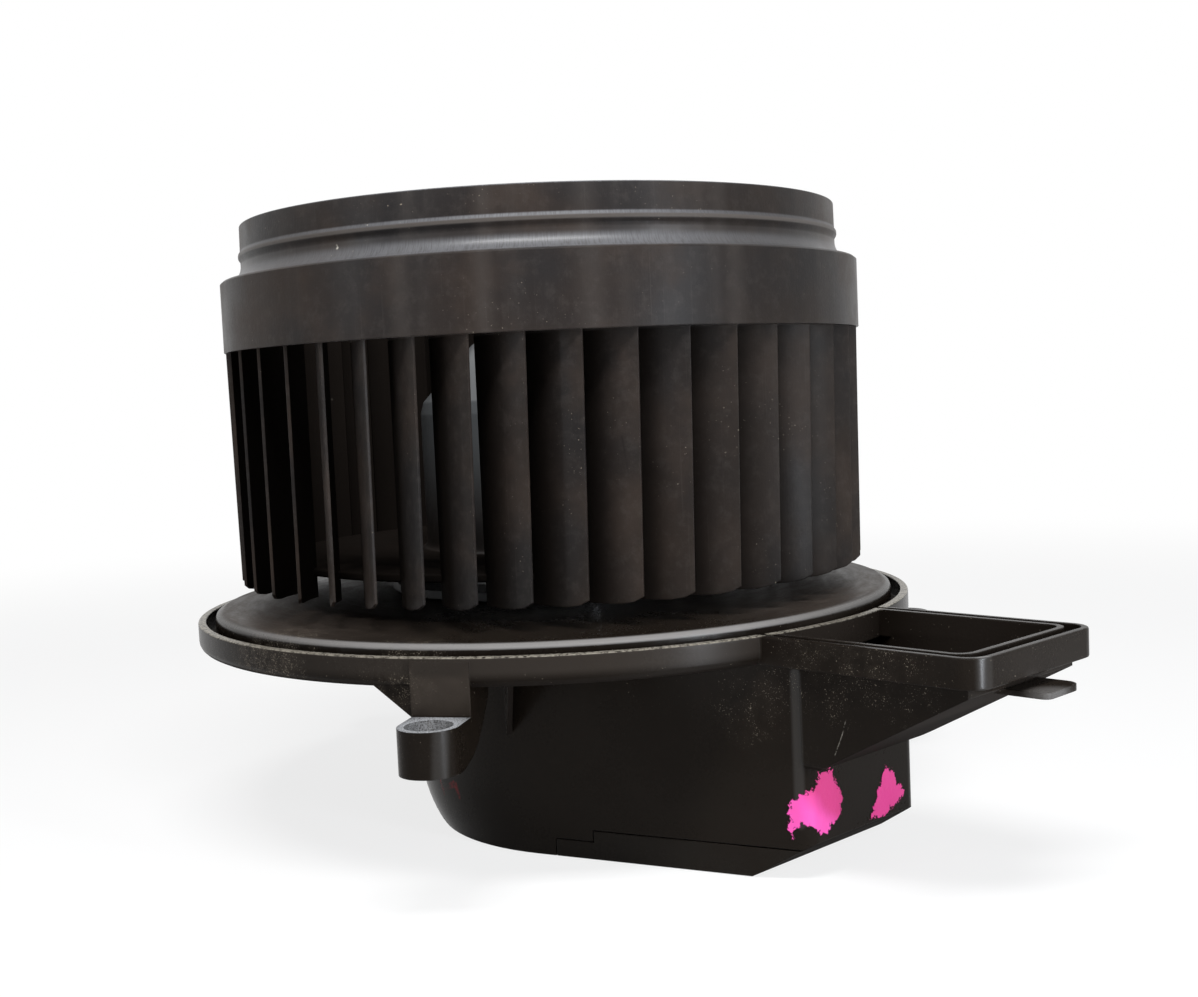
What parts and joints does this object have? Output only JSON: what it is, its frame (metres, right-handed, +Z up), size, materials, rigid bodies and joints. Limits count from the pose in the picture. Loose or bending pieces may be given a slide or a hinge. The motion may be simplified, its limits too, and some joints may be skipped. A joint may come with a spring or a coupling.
{
  "type": "car cabin blower motor",
  "caption": "Round squirrel-cage fan wheel on a flanged black housing, with a motor chamber below, a side duct that draws cooling air and screw lugs round the rim.",
  "frame": {"origin": "on the wheel's axis, at the height of the flat underside that the housing rests on", "axes": "+Z up along the wheel's axis, towards the air inlet; +X along the cooling-air duct"},
  "size_m": [0.2415, 0.1756, 0.1442],
  "materials": {
    "wheel_plastic": "satin",
    "housing_plastic": "semi-gloss",
    "cover_plastic": "semi-gloss",
    "shaft_steel": "ground",
    "insert_brass": "turned",
    "clip_steel": "spring temper",
    "lamination_steel": "stamped stack",
    "winding_copper": "enamelled copper",
    "commutator_copper": "turned copper",
    "can_steel": "zinc plated",
    "magnet_ferrite": "sintered ferrite",
    "cap_plastic": "glass filled",
    "bearing_bronze": "sintered bronze",
    "brush_carbon": "pressed carbon",
    "holder_brass": "folded sheet",
    "spring_steel": "drawn wire",
    "black_rubber": "moulded",
    "retainer_plastic": "glass filled",
    "screw_steel": "zinc plated",
    "connector_plastic": "glass filled",
    "terminal_metal": "tinned",
    "lead_sleeve": "wire insulation"
  },
  "bodies": {
    "housing": {"motor_housing": "housing_plastic", "lower_cover": "cover_plastic", "motor_can": "can_steel", "magnet_left": "magnet_ferrite", "magnet_right": "magnet_ferrite", "end_cap": "cap_plastic", "upper_bearing": "bearing_bronze", "lower_bearing": "bearing_bronze", "brush_left": "brush_carbon", "brush_right": "brush_carbon", "brush_holder_left": "holder_brass", "brush_holder_right": "holder_brass", "brush_spring_left": "spring_steel", "brush_spring_right": "spring_steel", "isolator_ring": "black_rubber", "isolator_foot_1": "black_rubber", "isolator_foot_2": "black_rubber", "isolator_foot_3": "black_rubber", "motor_retainer": "retainer_plastic", "retainer_screw_1": "screw_steel", "retainer_screw_2": "screw_steel", "retainer_screw_3": "screw_steel", "connector_block": "connector_plastic", "terminal_1": "terminal_metal", "terminal_2": "terminal_metal", "lead_wire_1": "lead_sleeve", "lead_wire_2": "lead_sleeve"},
    "rotor": {"impeller": "wheel_plastic", "motor_shaft": "shaft_steel", "hub_insert": "insert_brass", "shaft_clip": "clip_steel", "armature_core": "lamination_steel", "armature_windings": "winding_copper", "commutator": "commutator_copper"}
  },
  "joints": [
    {"name": "impeller_spin", "type": "hinge", "parent": "housing", "child": "rotor", "pos_m": [0, 0, 0], "axis": [0, 0, 1], "continuous": true}
  ]
}
